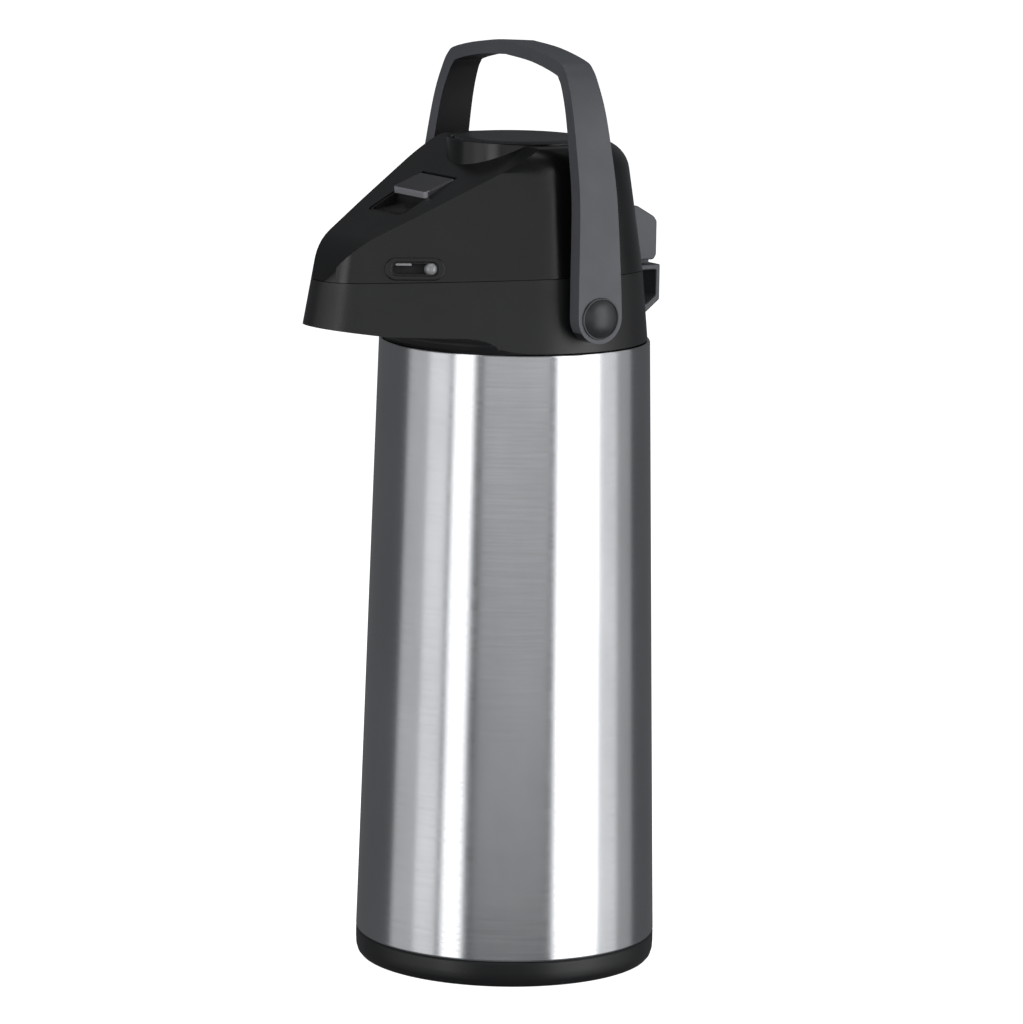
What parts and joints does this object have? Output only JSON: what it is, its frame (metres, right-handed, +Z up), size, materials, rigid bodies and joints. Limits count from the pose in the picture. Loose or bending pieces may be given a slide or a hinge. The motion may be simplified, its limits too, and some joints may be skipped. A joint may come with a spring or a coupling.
{
  "type": "thermal coffee airpot",
  "caption": "Tall tapered steel vacuum airpot with a beaked black pump lid that hinges open, a round push plate, a release lever and a swinging bail handle.",
  "frame": {"origin": "on the body axis, at the underside of the base plate, where the airpot stands", "axes": "+Z up along the body axis, -Y towards the spout beak, +X towards the right-hand handle pivot"},
  "size_m": [0.1624, 0.1963, 0.4604],
  "materials": {
    "steel_shell": "fine vertical-band polish with faint circumferential brushing",
    "black_plastic": "moulded satin black",
    "gloss_black": "glossy moulded black",
    "satin_black": "satin charcoal with fine grain",
    "button_grey": "satin dark grey",
    "small_steel": "bright zinc or stainless",
    "silvered_glass": "silvered vacuum glass",
    "silicone": "translucent white silicone",
    "natural_plastic": "natural polypropylene"
  },
  "bodies": {
    "body": {"base_ring": "black_plastic", "base_plate": "black_plastic", "liner_cushion": "silicone", "outer_shell": "steel_shell", "glass_liner": "silvered_glass", "neck_gasket": "silicone", "mouth_ring": "natural_plastic", "neck_ring": "black_plastic", "inner_deck": "black_plastic", "head_gasket": "silicone", "siphon_head": "natural_plastic", "dip_tube": "small_steel", "dip_tube_foot": "natural_plastic", "spout_tube": "natural_plastic", "spout_nozzle": "black_plastic", "collar": "black_plastic", "collar_screw_1": "small_steel", "collar_screw_2": "small_steel", "collar_screw_3": "small_steel", "latch_catch": "black_plastic", "hinge_bracket": "black_plastic", "hinge_pin": "small_steel", "pivot_screw_left": "small_steel", "pivot_screw_right": "small_steel"},
    "lid": {"lid_shell": "gloss_black", "lid_base": "black_plastic", "lid_screw_1": "small_steel", "lid_screw_2": "small_steel", "lid_screw_3": "small_steel", "lid_screw_4": "small_steel", "finger_cup": "black_plastic", "lever_pin": "small_steel", "lever_spring": "small_steel", "lock_bezel": "gloss_black", "pump_base": "black_plastic", "air_valve": "silicone", "lid_gasket": "silicone", "bellows": "silicone", "return_spring": "small_steel", "hinge_lug": "satin_black"},
    "push_button": {"push_plate": "button_grey", "plate_follower": "natural_plastic"},
    "release": {"release_lever": "gloss_black"},
    "lock": {"lock_slider": "satin_black"},
    "ball": {"anti_spill_ball": "small_steel"},
    "handle": {"handle": "satin_black", "hub_cap_left": "satin_black", "hub_cap_right": "satin_black"},
    "pivot_bushes": {"hub_spacer_left": "black_plastic", "hub_spacer_right": "black_plastic"}
  },
  "joints": [
    {"name": "lid_hinge", "type": "hinge", "parent": "body", "child": "lid", "pos_m": [0, 0.0715, 0.3532], "axis": [-1, 0, 0], "range_deg": [0, 90]},
    {"name": "button_press", "type": "slide", "parent": "lid", "child": "push_button", "axis": [0, 0, -1], "range_m": [0, 0.024], "stiffness_N_per_m": 500, "springref_m": -0.01, "deforming": ["bellows", "return_spring"]},
    {"name": "release_lift", "type": "hinge", "parent": "lid", "child": "release", "pos_m": [0, -0.047, 0.3894], "axis": [-1, 0, 0], "range_deg": [0, 10], "stiffness_Nm_per_rad": 0.3, "springref_deg": -8.59},
    {"name": "lock_slide", "type": "slide", "parent": "lid", "child": "lock", "axis": [-0.4386, -0.8987, 0], "range_m": [0, 0.015]},
    {"name": "ball_lift", "type": "slide", "parent": "body", "child": "ball", "axis": [0, 0, 1], "range_m": [0, 0.0025]},
    {"name": "handle_swing", "type": "hinge", "parent": "body", "child": "pivot_bushes", "pos_m": [0, 0, 0.3321], "axis": [1, 0, 0], "range_deg": [-110, 110]},
    {"name": "handle_pushed_back", "type": "hinge", "parent": "pivot_bushes", "child": "handle", "pos_m": [0, 0, 0.3321], "axis": [1, 0, 0], "range_deg": [-121.5, 0]}
  ],
  "couplings": [
    {"joint": "handle_pushed_back", "follows": "lid_hinge", "ratio": -1.35}
  ]
}
